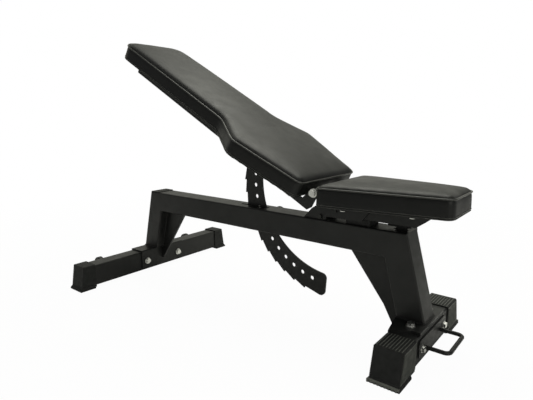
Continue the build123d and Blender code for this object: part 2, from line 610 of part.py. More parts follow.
def wheel_axle(side):
    """Headed pin through both cheeks, peened at its far end."""
    reach = WHEEL_W / 2 + WHEEL_SIDE_GAP + WHEEL_CHEEK_T
    middle = side * WHEEL_Y
    pin = round_y(WHEEL_X, WHEEL_Z, WHEEL_AXLE_D, middle - reach, middle + reach)
    for end in (-reach, reach):
        head = round_y(WHEEL_X, WHEEL_Z, AXLE_HEAD_D, middle + end,
                       middle + end + math.copysign(AXLE_HEAD_T, end))
        pin += head
    return pin


# ---------------------------------------------------------------- hinge
def hinge_boss(x, z, radius, thickness, middle_y):
    return round_y(x, z, 2 * radius, middle_y - thickness / 2, middle_y + thickness / 2)


def from_hinge(places):
    """X-Z places of points given ahead of the hinge and above the beam."""
    return [(PIVOT_X + ahead, BEAM_TOP_Z + up) for ahead, up in places]


def pivot_upright(side):
    middle_y = side * (UPRIGHT_OUT_Y - UPRIGHT_T / 2)
    rear, front = UPRIGHT_FOOT
    outline = from_hinge([(rear, 0), *UPRIGHT_KNEES]) + [
        (PIVOT_X - HINGE_BOSS_R, PIVOT_Z), (PIVOT_X + HINGE_BOSS_R, PIVOT_Z),
        *from_hinge([(front, 0)])]
    plate = side_plate(side_face(outline), UPRIGHT_T, middle_y)
    plate += hinge_boss(PIVOT_X, PIVOT_Z, HINGE_BOSS_R, UPRIGHT_T, middle_y)
    plate -= round_y(PIVOT_X, PIVOT_Z, PIVOT_TUBE_D, middle_y - UPRIGHT_T, middle_y + UPRIGHT_T)
    cross_x, cross_z = from_hinge([CROSS_BOLT])[0]
    return plate - round_y(cross_x, cross_z, bolt_hole_d(M8), middle_y - UPRIGHT_T,
                           middle_y + UPRIGHT_T)


def ring_y(outer, inner, y0, y1):
    """Tube about the hinge line."""
    return (round_y(PIVOT_X, PIVOT_Z, outer, y0, y1)
            - round_y(PIVOT_X, PIVOT_Z, inner, y0 - PLANE_REACH, y1 + PLANE_REACH))


def pivot_tube():
    half = UPRIGHT_OUT_Y + PIVOT_TUBE_END
    return ring_y(PIVOT_TUBE_D, AXLE_D + 2 * RUN_FIT, -half, half)


def pivot_spacer(side):
    y0, y1 = side * (ARM_OUT_Y + EDGE_GAP), side * (YOKE_IN_Y - EDGE_GAP)
    return ring_y(SPACER_D, AXLE_D + 2 * RUN_FIT, min(y0, y1), max(y0, y1))


def hinge_seat_y():
    """Face of a yoke plate's washer, where the hinge bolt or its nut bears."""
    return YOKE_OUT_Y + EDGE_GAP + M12["washer"][1]


def pivot_bolt():
    length = 2 * hinge_seat_y() + M12["nut"] + THREAD_END
    return bolt(M12, length, (PIVOT_X, -hinge_seat_y(), PIVOT_Z), (0, 1, 0))


# ---------------------------------------------------------------- pull pins
def pin_layout(plate_half):
    """Places along Y of a pull pin that is drawn clear of the plate."""
    tip = plate_half + PIN_CLEAR
    guide_end = tip + PIN_GUIDE
    collar = guide_end + PIN_TRAVEL + EDGE_GAP
    knob = PIN_BARREL_END_Y + PIN_TRAVEL + 2 * EDGE_GAP
    return {"tip": tip, "guide_end": guide_end, "collar": collar, "knob": knob}


def pin_housing(spec, plate_half, x, z):
    at = pin_layout(plate_half)
    cap_y = PIN_BARREL_END_Y - PIN_CAP_T
    barrel = round_y(x, z, spec["barrel"], at["tip"], PIN_BARREL_END_Y)
    barrel -= round_y(x, z, spec["pin"] + 2 * RUN_FIT, at["tip"] - PLANE_REACH, at["guide_end"])
    barrel -= round_y(x, z, spec["chamber"], at["guide_end"], cap_y)
    return barrel - round_y(x, z, spec["stem"] + 2 * RUN_FIT, cap_y - PLANE_REACH,
                            PIN_BARREL_END_Y + PLANE_REACH)


def pin_plunger(spec, plate_half, x, z):
    at = pin_layout(plate_half)
    collar_end = at["collar"] + PIN_COLLAR_T
    pin = round_y(x, z, spec["pin"], at["tip"] + EDGE_GAP, at["collar"])
    pin = chamfer(pin.edges().group_by(Axis.Y)[0], PIN_TIP_BEVEL)
    pin += round_y(x, z, spec["chamber"] - 1, at["collar"], collar_end)
    return pin + round_y(x, z, spec["stem"], collar_end, at["knob"] + KNOB_SOCKET)


def pin_knob(spec, plate_half, x, z):
    start = pin_layout(plate_half)["knob"]
    radius = spec["knob"] / 2
    profile = [(0, 0), (KNOB_NECK_D / 2, 0), (KNOB_NECK_D / 2, KNOB_NECK_T),
               (radius - KNOB_BEVEL, KNOB_NECK_T + KNOB_BEVEL),
               (radius, KNOB_NECK_T + 2 * KNOB_BEVEL), (radius, PIN_KNOB_T - KNOB_BEVEL),
               (radius - KNOB_BEVEL, PIN_KNOB_T), (0, PIN_KNOB_T)]
    knob = revolve(Plane.XZ * make_face(Polyline(*profile, close=True)), Axis.Z)
    knob = Pos(x, start, z) * Rot(-90, 0, 0) * knob
    return knob - round_y(x, z, spec["stem"] + 2 * THREAD_GAP, start - PLANE_REACH,
                          start + KNOB_SOCKET + THREAD_GAP)


def pin_spring(spec, plate_half, x, z):
    mean_r = (spec["stem"] + spec["chamber"]) / 4
    height = SPRING_LEN - 2 * SPRING_WIRE
    coil = Helix(pitch=height / SPRING_TURNS, height=height, radius=mean_r)
    start = Plane(origin=coil @ 0, z_dir=coil % 0)
    spring = sweep(start * Circle(SPRING_WIRE / 2), path=coil, is_frenet=True)
    rest_y = pin_layout(plate_half)["collar"] + PIN_COLLAR_T + EDGE_GAP + SPRING_WIRE / 2
    return Pos(x, rest_y, z) * Rot(-90, 0, 0) * spring


def lock_hole_d(spec):
    return spec["pin"] + 2 * LOCK_HOLE_GAP


# ---------------------------------------------------------------- backrest
def rounded_outline(points, radii):
    """Face from a polygon whose corners are rounded one by one."""
    face = make_face(Polyline(*points, close=True))
    for (px, py), radius in zip(points, radii):
        corner = [v for v in face.vertices() if math.hypot(v.X - px, v.Y - py) < TOL * 1000]
        face = fillet(corner, radius)
    return face


def back_outline(inset=0.0):
    """Plan of the backrest cushion: straight head, drawn-out shoulders, tapered tail."""
    head_x, neck_x = PIVOT_X - BACK_HEAD_U, PIVOT_X - BACK_NECK_U
    shoulder_x, tail_x = PIVOT_X - BACK_SHOULDER_U, PIVOT_X - BACK_TAIL_U
    half = [(head_x, BACK_HEAD_HALF, BACK_HEAD_R), (neck_x, BACK_HEAD_HALF, BACK_NECK_R),
            (shoulder_x, BACK_SHOULDER_HALF, BACK_SHOULDER_R),
            (tail_x, BACK_TAIL_HALF, BACK_TAIL_R)]
    loop = half + [(x, -y, r) for x, y, r in reversed(half)]
    face = rounded_outline([(x, y) for x, y, r in loop], [r for x, y, r in loop])
    return offset(face, -inset) if inset else face


def cushion(outline, low_z, thickness, pocket):
    """Closed cushion with rounded edges and a pocket for its board underneath."""
    body = extrude(Pos(0, 0, low_z) * outline, amount=thickness)
    body = fillet(body.faces().sort_by(Axis.Z)[-1].edges(), PAD_EDGE_R)
    pocket_t = BOARD_T + POCKET_GAP + PLANE_REACH
    return body - extrude(Pos(0, 0, low_z - PLANE_REACH) * pocket, amount=pocket_t)


def back_pad():
    low_z = PIVOT_Z + BACK_PAD_LOW
    return cushion(back_outline(), low_z, BACK_PAD_T, back_outline(BOARD_INSET - POCKET_GAP))


def board(outline, low_z, screws):
    """Plywood under a cushion, drilled for its screws."""
    plate = extrude(Pos(0, 0, low_z) * outline, amount=BOARD_T)
    for x, y in screws:
        plate -= round_z(x, y, M8["d"] + 2 * THREAD_GAP, low_z - PLANE_REACH,
                         low_z + BOARD_T + PLANE_REACH)
    return plate


def back_screw_places():
    return [(PIVOT_X - u, side * (half - STRAP_W / 2))
            for u, half in BACK_STRAPS for side in SIDES.values()]


def strap(middle_x, half, low_z, holes):
    plate = block((middle_x - STRAP_W / 2, middle_x + STRAP_W / 2), (-half, half),
                  (low_z, low_z + STRAP_T))
    plate = fillet(plate.edges().filter_by(Axis.Z), STRAP_CORNER_R)
    for x, y in holes:
        if abs(x - middle_x) < STRAP_W:
            plate -= round_z(x, y, bolt_hole_d(M8), low_z - PLANE_REACH,
                             low_z + STRAP_T + PLANE_REACH)
    return plate


def pad_screw(x, y, seat_z):
    return bolt(M8, STRAP_T + BOARD_T - SCREW_SHORT, (x, y, seat_z), (0, 0, 1))


def back_spine():
    middle_z = PIVOT_Z + SPINE_TOP - SPINE_H / 2
    return box_tube((PIVOT_X - SPINE_START_U, 0, middle_z), (PIVOT_X - SPINE_END_U, 0, middle_z),
                    SPINE_W, SPINE_H, SPINE_WALL, TUBE_CORNER)


def back_spine_plug():
    end_x = PIVOT_X - SPINE_END_U
    middle_z = PIVOT_Z + SPINE_TOP - SPINE_H / 2
    plane = Plane(origin=(end_x, 0, middle_z), x_dir=(0, 1, 0), z_dir=(-1, 0, 0))
    face = extrude(plane * RectangleRounded(SPINE_W, SPINE_H, TUBE_CORNER), amount=PLUG_T)
    face = fillet(face.faces().sort_by(Axis.X)[0].edges(), PLUG_T / 2)
    inset = 2 * (SPINE_WALL + RUBBER_FIT)
    stem = extrude(plane * RectangleRounded(SPINE_W - inset, SPINE_H - inset, TUBE_CORNER),
                   amount=-PLUG_DEPTH)
    return face + stem


def yoke_tube():
    middle_x = PIVOT_X - SPINE_START_U + YOKE_TUBE_D / 2
    middle_z = PIVOT_Z + SPINE_TOP - YOKE_TUBE_H / 2
    plane = Plane(origin=(middle_x, -YOKE_IN_Y, middle_z), x_dir=(1, 0, 0), z_dir=(0, 1, 0))
    outer = extrude(plane * RectangleRounded(YOKE_TUBE_D, YOKE_TUBE_H, YOKE_TUBE_CORNER),
                    amount=2 * YOKE_IN_Y)
    inner = extrude(plane * RectangleRounded(YOKE_TUBE_D - 2 * YOKE_TUBE_WALL,
                                             YOKE_TUBE_H - 2 * YOKE_TUBE_WALL,
                                             YOKE_TUBE_CORNER / 2), amount=2 * YOKE_IN_Y)
    return outer - inner


def yoke_plate(side):
    """Plate that carries one side of the backrest on the hinge bolt."""
    middle_y = side * (YOKE_IN_Y + YOKE_T / 2)
    top_n = BACK_PAD_LOW - EDGE_GAP
    outline = [back_point(SPINE_START_U, top_n), back_point(YOKE_HEEL_U, -YOKE_DROP),
               back_point(YOKE_TOE_U, -YOKE_DROP),
               back_point(-HINGE_BOSS_R, YOKE_TOE_RISE - YOKE_DROP),
               back_point(-HINGE_BOSS_R, 0), back_point(HINGE_BOSS_R, 0),
               back_point(BACK_TAIL_U - YOKE_TAIL_STEP, top_n)]
    plate = side_plate(side_face(outline), YOKE_T, middle_y)
    plate += hinge_boss(PIVOT_X, PIVOT_Z, HINGE_BOSS_R, YOKE_T, middle_y)
    return plate - round_y(PIVOT_X, PIVOT_Z, AXLE_D + 2 * RUN_FIT, middle_y - YOKE_T,
                           middle_y + YOKE_T)


def arc_plate():
    """Toothed and holed arc about the hinge, laid out with the backrest flat."""
    def meet(radius):
        return -math.degrees(math.asin(-SPINE_LOW / radius))
    holes = [PIN_ANGLE - ARC_STEP * i for i in range(ARC_COUNT)]
    end = holes[-1] - ARC_TAIL
    points = [polar(ARC_OUT_R, meet(ARC_OUT_R))]
    for hole in holes:
        ledge = hole + ARC_LEDGE_LEAD
        points += [polar(ARC_OUT_R, ledge), polar(ARC_OUT_R - ARC_TOOTH, ledge)]
    points.append(polar(ARC_OUT_R, end))
    points.append(polar(ARC_IN_R, end))
    start_in, mid_in = meet(ARC_IN_R), (meet(ARC_IN_R) + end) / 2
    edge = Polyline(*points)
    inner = ThreePointArc(polar(ARC_IN_R, end), polar(ARC_IN_R, mid_in),
                          polar(ARC_IN_R, start_in))
    root = Line(polar(ARC_IN_R, start_in), polar(ARC_OUT_R, meet(ARC_OUT_R)))
    face = Plane.XZ * make_face([edge, inner, root])
    ends = [polar(ARC_OUT_R, end), polar(ARC_IN_R, end)]
    face = fillet(near_vertices(face, ends, 1.0), ARC_END_FILLET)
    plate = side_plate(face, ARC_T)
    for angle in holes:
        plate -= round_y(*polar(ARC_HOLE_R, angle), lock_hole_d(BACK_PIN), -ARC_T, ARC_T)
    return plate


# ---------------------------------------------------------------- seat
def seat_outline(inset=0.0):
    """Plan of the seat cushion, narrower at its front."""
    corners = [(SEAT_REAR_X, SEAT_REAR_HALF, SEAT_REAR_R),
               (SEAT_FRONT_X, SEAT_FRONT_HALF, SEAT_FRONT_R)]
    loop = corners + [(x, -y, r) for x, y, r in reversed(corners)]
    face = rounded_outline([(x, y) for x, y, r in loop], [r for x, y, r in loop])
    return offset(face, -inset) if inset else face


def seat_screw_places():
    return [(PIVOT_X + ahead, side * (half - STRAP_W / 2))
            for ahead, half in SEAT_STRAPS for side in SIDES.values()]


def arm_bolt_place():
    return PIVOT_X + ARM_BOLT[0], RAIL_TOP_Z - ARM_BOLT[1]


def seat_rail():
    middle_z = RAIL_TOP_Z - RAIL_H / 2
    rail = box_tube((RAIL_REAR_X, 0, middle_z), (RAIL_FRONT_X + RAIL_H, 0, middle_z),
                    RAIL_W, RAIL_H, RAIL_WALL, RAIL_CORNER)
    rail = cut_above(rail, (RAIL_FRONT_X, 0, RAIL_TOP_Z), (RAIL_H, 0, -RAIL_FRONT_CUT))
    for side in SIDES.values():
        rail -= round_y(*arm_bolt_place(), bolt_hole_d(M8), side * RAIL_W / 4, side * RAIL_W)
    return rail


def seat_arm(side):
    middle_y = side * (ARM_IN_Y + ARM_T / 2)
    rear_x, front_x = PIVOT_X - ARM_REAR_BEHIND, PIVOT_X + ARM_FRONT_AHEAD
    low_z = RAIL_LOW_Z - ARM_BELOW_RAIL
    boss_x = PIVOT_X + HINGE_BOSS_R
    outline = [(rear_x, PIVOT_Z), (rear_x, low_z), (front_x - ARM_FRONT_CUT, low_z),
               (front_x, RAIL_TOP_Z), (boss_x, RAIL_TOP_Z), (boss_x, PIVOT_Z)]
    plate = side_plate(side_face(outline), ARM_T, middle_y)
    plate += hinge_boss(PIVOT_X, PIVOT_Z, HINGE_BOSS_R, ARM_T, middle_y)
    plate -= round_y(PIVOT_X, PIVOT_Z, AXLE_D + 2 * RUN_FIT, middle_y - ARM_T, middle_y + ARM_T)
    return plate - round_y(*arm_bolt_place(), bolt_hole_d(M8), middle_y - ARM_T,
                           middle_y + ARM_T)


def seat_sector():
    """Holed arc under the seat rail that rises and sinks in the beam's front slot."""
    inner, outer = SECTOR_R - SECTOR_HALF_W, SECTOR_R + SECTOR_HALF_W
    holes = [SECTOR_PIN_ANGLE - SECTOR_STEP * i for i in range(SECTOR_COUNT)]
    rear_x, front_x = PIVOT_X + SECTOR_ROOT[0], PIVOT_X + SECTOR_ROOT[1]
    flare_z = BEAM_TOP_Z + SECTOR_FLARE

    def neck(radius):
        return -math.degrees(math.asin((PIVOT_Z - flare_z) / radius))

    def arc(radius):
        start, end = neck(radius), holes[-1]
        return [polar(radius, angle, 1) for angle in (start, (start + end) / 2, end)]
    last_x, last_z = polar(SECTOR_R, holes[-1], 1)
    face = make_face([
        Polyline(polar(inner, neck(inner), 1), (rear_x, flare_z), (rear_x, RAIL_LOW_Z),
                 (front_x, RAIL_LOW_Z), (front_x, flare_z), polar(outer, neck(outer), 1)),
        ThreePointArc(*arc(outer)),
        Line(polar(outer, holes[-1], 1), polar(inner, holes[-1], 1)),
        ThreePointArc(*reversed(arc(inner)))])
    plate = side_plate(Plane.XZ * face, SECTOR_T)
    plate += round_y(last_x, last_z, 2 * SECTOR_END_R, -SECTOR_T / 2, SECTOR_T / 2)
    for angle in holes:
        plate -= round_y(*polar(SECTOR_R, angle, 1), lock_hole_d(SEAT_PIN), -SECTOR_T, SECTOR_T)
    return plate


def seat_rest_pad():
    """Rubber block on the beam that the seat rail comes down on."""
    pad = block((PIVOT_X + REST_X[0], PIVOT_X + REST_X[1]), (-REST_W / 2, REST_W / 2),
                (BEAM_TOP_Z, BEAM_TOP_Z + REST_T))
    return fillet(pad.edges().filter_by(Axis.Z), STOP_PAD_CORNER)


# ---------------------------------------------------------------- put the bench together
def add_frame():
    parts["main_beam"] = main_beam()
    parts["rear_post"] = leaning_leg(BEAM_REAR_X, REAR_SLOPE, POST_RUN, -1, SADDLE_TOP_Z)
    parts["front_leg"] = leaning_leg(BEAM_FRONT_X, FRONT_SLOPE, LEG_RUN, 1, BASE_TOP_Z)
    parts["rear_gusset"] = rear_gusset()
    parts["front_gusset"] = front_gusset()
    parts["rear_saddle"] = rear_saddle()
    parts["rear_crossbar"] = rear_crossbar()
    parts["front_crossbar"] = front_crossbar()
    parts["front_base_plate"] = front_base_plate()
    parts["handle_plate"] = handle_plate()
    parts["carry_handle"] = carry_handle()
    parts["beam_stop_pad"] = beam_stop_pad()
    parts["seat_rest_pad"] = seat_rest_pad()
    for name, side in SIDES.items():
        parts[f"rear_foot_cap_{name}"] = foot_cap(REAR_FOOT, 0, side)
        parts[f"front_foot_cap_{name}"] = foot_cap(FRONT_FOOT, FRONT_BAR_X, side)
        parts[f"transport_wheel_{name}"] = transport_wheel(side)
    parts["wheel_brackets"] = group(c for side in SIDES.values() for c in wheel_bracket(side))
    parts["wheel_axles"] = group(wheel_axle(side) for side in SIDES.values())


def add_fasteners():
    sides = SIDES.values()
    washer_t = M12["washer"][1]
    saddle_x = HALF_BAR + SADDLE_T
    bolt_z = REAR_BAR_TOP_Z - SADDLE_BOLT_DROP
    rear_len = 2 * saddle_x + 2 * washer_t + M12["nut"] + THREAD_END
    base_len = washer_t + BASE_PLATE_T + FOOT_BAR_WALL + M12["nut"] + THREAD_END
    parts["m12_bolts"] = group(
        [bolt(M12, rear_len, (saddle_x + washer_t, s * SADDLE_BOLT_Y, bolt_z), (-1, 0, 0))
         for s in sides]
        + [bolt(M12, base_len, (FRONT_BAR_X, s * BASE_BOLT_Y, BASE_TOP_Z + washer_t), (0, 0, -1))
           for s in sides])
    parts["m12_washers"] = group(
        [washer(M12, (saddle_x, s * SADDLE_BOLT_Y, bolt_z), (1, 0, 0)) for s in sides]
        + [washer(M12, (-saddle_x, s * SADDLE_BOLT_Y, bolt_z), (-1, 0, 0)) for s in sides]
        + [washer(M12, (FRONT_BAR_X, s * BASE_BOLT_Y, BASE_TOP_Z), (0, 0, 1)) for s in sides]
        + [washer(M12, (PIVOT_X, s * (YOKE_OUT_Y + EDGE_GAP), PIVOT_Z), (0, s, 0)) for s in sides])
    parts["m12_nuts"] = group(
        [nut(M12, (-saddle_x - washer_t, s * SADDLE_BOLT_Y, bolt_z), (-1, 0, 0)) for s in sides]
        + [nut(M12, (FRONT_BAR_X, s * BASE_BOLT_Y, FRONT_BAR_TOP_Z - FOOT_BAR_WALL), (0, 0, -1))
           for s in sides]
        + [nut(M12, (PIVOT_X, hinge_seat_y(), PIVOT_Z), (0, 1, 0))])
    inner_x = BAR_FACE_X - FOOT_BAR_WALL
    handle_t = M10["washer"][1]
    handle_len = handle_t + HANDLE_PLATE[0] + FOOT_BAR_WALL + M10["nut"] + THREAD_END
    parts["handle_bolts"] = group(
        bolt(M10, handle_len, (HANDLE_FACE_X + handle_t, s * HANDLE_BOLT_Y, HANDLE_BOLT_Z),
             (-1, 0, 0)) for s in sides)
    parts["handle_washers"] = group(
        washer(M10, (HANDLE_FACE_X, s * HANDLE_BOLT_Y, HANDLE_BOLT_Z), (1, 0, 0)) for s in sides)
    parts["handle_nuts"] = group(
        nut(M10, (inner_x, s * HANDLE_BOLT_Y, HANDLE_BOLT_Z), (-1, 0, 0)) for s in sides)


def add_hinge():
    parts["pivot_uprights"] = group(pivot_upright(side) for side in SIDES.values())
    parts["pivot_tube"] = pivot_tube()
    parts["pivot_spacers"] = group(pivot_spacer(side) for side in SIDES.values())
    parts["pivot_bolt"] = pivot_bolt()
    cross_x, cross_z = from_hinge([CROSS_BOLT])[0]
    parts["cross_bolt"] = bolt(M8, 2 * UPRIGHT_OUT_Y + M8["nut"] + THREAD_END,
                               (cross_x, -UPRIGHT_OUT_Y, cross_z), (0, 1, 0))
    parts["cross_nut"] = nut(M8, (cross_x, UPRIGHT_OUT_Y, cross_z), (0, 1, 0))


def add_pull_pin(name, spec, plate_t, x, z):
    makers = {"housing": pin_housing, "plunger": pin_plunger, "knob": pin_knob,
              "spring": pin_spring}
    for part, maker in makers.items():
        parts[f"{name}_pin_{part}"] = maker(spec, plate_t / 2, x, z)


def add_backrest():
    holes = back_screw_places()
    strap_z = PIVOT_Z + BACK_PAD_LOW - STRAP_T
    flat = {
        "back_spine": back_spine(), "back_spine_plug": back_spine_plug(),
        "yoke_tube": yoke_tube(), "arc_plate": arc_plate(),
        "back_board": board(back_outline(BOARD_INSET), PIVOT_Z + BACK_PAD_LOW, holes),
        "back_pad": back_pad(),
        "back_straps": group(strap(PIVOT_X - u, half, strap_z, holes)
                             for u, half in BACK_STRAPS),
        "back_pad_screws": group(pad_screw(x, y, strap_z) for x, y in holes)}
    for name, side in SIDES.items():
        flat[f"yoke_plate_{name}"] = yoke_plate(side)
    for name, shape in flat.items():
        parts[name] = raise_back(shape)


def add_seat():
    holes = seat_screw_places()
    strap_z = SEAT_LOW_Z - STRAP_T
    bolt_x, bolt_z = arm_bolt_place()
    parts["seat_rail"] = seat_rail()
    for name, side in SIDES.items():
        parts[f"seat_arm_{name}"] = seat_arm(side)
    parts["seat_arm_bolts"] = group(
        bolt(M8, ARM_T + RAIL_WALL + M8["nut"], (bolt_x, s * ARM_OUT_Y, bolt_z), (0, -s, 0))
        for s in SIDES.values())
    parts["seat_sector"] = seat_sector()
    parts["seat_straps"] = group(strap(PIVOT_X + ahead, half, strap_z, holes)
                                 for ahead, half in SEAT_STRAPS)
    parts["seat_board"] = board(seat_outline(BOARD_INSET), SEAT_LOW_Z, holes)
    parts["seat_pad"] = cushion(seat_outline(), SEAT_LOW_Z, SEAT_PAD_T,
                                seat_outline(BOARD_INSET - POCKET_GAP))
    parts["seat_pad_screws"] = group(pad_screw(x, y, strap_z) for x, y in holes)


add_frame()
add_fasteners()
add_hinge()
add_pull_pin("back", BACK_PIN, ARC_T, BACK_PIN_X, BACK_PIN_Z)
add_pull_pin("seat", SEAT_PIN, SECTOR_T, SEAT_PIN_X, SEAT_PIN_Z)
add_backrest()
add_seat()

os.makedirs("parts", exist_ok=True)
for node, shape in parts.items():
    export_step(Pos(-FOOTPRINT_MID_X, 0, 0) * shape, f"parts/{node}.step")
print(len(parts), "pieces; hinge at", round(PIVOT_X - FOOTPRINT_MID_X, 3), PIVOT_Z)
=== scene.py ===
import json
import math

import bmesh
import bpy
import numpy as np
from mathutils import Matrix, Vector
from mathutils.kdtree import KDTree


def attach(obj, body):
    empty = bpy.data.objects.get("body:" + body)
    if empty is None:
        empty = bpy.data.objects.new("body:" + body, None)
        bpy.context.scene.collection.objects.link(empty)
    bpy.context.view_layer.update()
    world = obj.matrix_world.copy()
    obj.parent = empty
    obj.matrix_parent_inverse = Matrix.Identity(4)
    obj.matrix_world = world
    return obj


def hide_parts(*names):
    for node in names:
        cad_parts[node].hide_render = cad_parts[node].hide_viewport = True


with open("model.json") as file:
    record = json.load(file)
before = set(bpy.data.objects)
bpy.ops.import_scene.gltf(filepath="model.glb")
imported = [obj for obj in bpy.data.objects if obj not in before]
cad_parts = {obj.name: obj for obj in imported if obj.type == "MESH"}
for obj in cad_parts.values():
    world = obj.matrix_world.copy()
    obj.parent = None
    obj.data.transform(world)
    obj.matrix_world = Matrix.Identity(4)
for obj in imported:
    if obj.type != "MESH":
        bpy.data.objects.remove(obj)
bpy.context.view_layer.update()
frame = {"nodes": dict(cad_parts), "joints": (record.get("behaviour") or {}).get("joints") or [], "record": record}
NODES = frame["nodes"]

# ---------------------------------------------------------------- places, in metres
MM = 0.001
HINGE = Vector([j for j in frame["joints"] if j["name"] == "backrest_hinge"][0]["pos_m"])
BACK_ANGLE = math.radians(28.8)         # of the backrest at rest, above flat


# ---------------------------------------------------------------- colours and nodes
def hex_colour(code):
    """sRGB hex to linear RGBA."""
    channels = [int(code[i:i + 2], 16) / 255 for i in (1, 3, 5)]
    linear = [c / 12.92 if c <= 0.04045 else ((c + 0.055) / 1.055) ** 2.4 for c in channels]
    return (*linear, 1.0)


def add(tree, kind, settings=None, links=None):
    """Add a node, set its properties and sockets, and link its inputs."""
    node = tree.nodes.new(kind)
    for name, value in (settings or {}).items():
        if isinstance(name, str) and hasattr(node, name):
            setattr(node, name, value)
        else:
            node.inputs[name].default_value = value
    for name, source in (links or {}).items():
        tree.links.new(source, node.inputs[name])
    return node


WHITE = (1, 1, 1, 1)
NOISE, CELLS, WAVES = "ShaderNodeTexNoise", "ShaderNodeTexVoronoi", "ShaderNodeTexWave"
PER_MM = 1000                       # a texture's scale, for features of 1 mm
BAND_PER_MM = PER_MM * math.pi / 10     # the same for a wave, whose bands are closer together
DRIFT_DETAIL = 4.0
PATCHY, EVEN = (0.3, 0.7), (0.0, 1.0)   # part of a noise that is spread between two values


def surface(name, dark, light, tone_mm, rough, relief=None, sockets=None, tones=PATCHY):
    """A material whose colour and gloss drift over patches of a real size.

    rough is one value, or patch size in mm, lowest and highest. relief is the texture that
    shapes the surface, its settings, its output, its depth in mm and its strength. tones is
    the part of the noise that is spread from dark to light.
    """
    material = bpy.data.materials.new(name)
    material.use_nodes = True
    tree = material.node_tree
    tree.nodes.clear()
    place = {"Vector": add(tree, "ShaderNodeTexCoord").outputs["Object"]}
    settings = dict(sockets or {})
    drifts = {"tone": (tone_mm, 0.0, 1.0, tones)}
    if isinstance(rough, tuple):
        drifts["Roughness"] = (*rough, PATCHY)
    else:
        settings["Roughness"] = rough
    links = {}
    for use, (patch_mm, low, high, (least, most)) in drifts.items():
        noise = add(tree, NOISE, {"Scale": PER_MM / patch_mm, "Detail": DRIFT_DETAIL}, place)
        span = {"From Min": least, "From Max": most, "To Min": low, "To Max": high}
        spread = add(tree, "ShaderNodeMapRange", span, {"Value": noise.outputs["Fac"]})
        links[use] = spread.outputs["Result"]
    ends = {"data_type": "RGBA", 6: hex_colour(dark), 7: hex_colour(light)}
    links["Base Color"] = add(tree, "ShaderNodeMix", ends, {0: links.pop("tone")}).outputs[2]
    if relief:
        kind, shape, output, depth_mm, strength = relief
        height = add(tree, kind, shape, place).outputs[output]
        bump = add(tree, "ShaderNodeBump", {"Distance": depth_mm * MM, "Strength": strength},
                   {"Height": height})
        links["Normal"] = bump.outputs["Normal"]
    shader = add(tree, "ShaderNodeBsdfPrincipled", settings, links)
    add(tree, "ShaderNodeOutputMaterial", links={"Surface": shader.outputs["BSDF"]})
    return material


# ---------------------------------------------------------------- materials
# Satin black powder coat on steel: a fine pebbled film that keeps a soft, broad highlight.
# Its pebble is drawn wider than the real 0.5 to 1 mm, so that it shows.
POWDER_COAT = surface("powder_coated_steel", "#161716", "#1d1e1d", 60, (25, 0.40, 0.50),
                      (NOISE, {"Scale": PER_MM / 1.6, "Detail": 2.0}, "Fac", 0.05, 0.5),
                      {"Specular IOR Level": 0.35})

# Bright zinc plate on turned steel: pale metal with a slight, uneven haze.
ZINC = surface("zinc_plated_steel", "#cfd0cc", "#f2f2ee", 4, (4, 0.22, 0.38),
               (NOISE, {"Scale": PER_MM / 4, "Detail": DRIFT_DETAIL}, "Fac", 0.03, 0.4),
               {"Metallic": 1.0}, tones=EVEN)

# Painted shade: a darker copy of the zinc plate for the bolts that sit in shade; dark, hazy metal that hardly
# glints.
SHADED_ZINC = surface("painted_shade_zinc", "#2c2d2c", "#4a4b49", 4, (4, 0.45, 0.60),
                      (NOISE, {"Scale": PER_MM / 4, "Detail": DRIFT_DETAIL}, "Fac", 0.03, 0.4),
                      {"Metallic": 1.0}, tones=EVEN)

# Oiled drawn spring wire: darker bare steel with a tight gloss.
SPRING_WIRE = surface("drawn_spring_wire", "#6c6d6b", "#8d8e8b", 3, (3, 0.25, 0.40),
                      sockets={"Metallic": 1.0}, tones=EVEN)

# Moulded black rubber: dull, slightly grey, with a dry pebble from the mould.
RUBBER = surface("moulded_rubber", "#171817", "#202120", 18, (10, 0.58, 0.72),
                 (NOISE, {"Scale": PER_MM / 1.2, "Detail": 3.0}, "Fac", 0.08, 0.6),
                 {"Specular IOR Level": 0.3})

# The same rubber painted lighter for the ribs: painted light on their raised edges, so the ribs stand out from
# dark grooves.
RIB_LIGHT_RUBBER = surface("painted_light_rib_rubber", "#50524d", "#666862", 14, 0.6,
                      (NOISE, {"Scale": PER_MM / 1.2, "Detail": 3.0}, "Fac", 0.05, 0.5))

# Moulded black nylon: even and satin, with a faint spark texture.
PLASTIC = surface("moulded_plastic", "#121312", "#191a19", 20, (12, 0.36, 0.48),
                  (NOISE, {"Scale": PER_MM / 1.0, "Detail": 2.0}, "Fac", 0.03, 0.4))

# Plywood under black stapled lining cloth: a matt, faintly woven black. The threads are
# drawn about twice as far apart as real ones, so that they show.
PLYWOOD = surface("lined_plywood", "#131313", "#1b1b1b", 8, 0.9,
                  (WAVES, {"Scale": BAND_PER_MM / 1.9635, "Distortion": 1.5}, "Fac", 0.2, 0.5),
                  {"Specular IOR Level": 0.15})

# Black vinyl leatherette over foam: fine pebble grain with a soft sheen that drifts a little.
# Its grain is drawn wider than the real 1 mm or less, so that it shows.
LEATHERETTE = surface("leatherette", "#0f100f", "#161715", 90, (40, 0.40, 0.50),
                      (CELLS, {"Scale": PER_MM / 1.6, "feature": "SMOOTH_F1"}, "Distance",
                       0.1, 0.35),
                      {"Specular IOR Level": 0.31})

# Vinyl piping pulled tight over cord: smoother and glossier than the panels. Its colour is lighter than
# the panels' as a painted highlight, so it draws a fine light line round each cushion.
PIPING_PAINTED_HIGHLIGHT = surface("piping_vinyl_painted_highlight", "#262724", "#31322e", 30, 0.3,
                 sockets={"Specular IOR Level": 0.6})

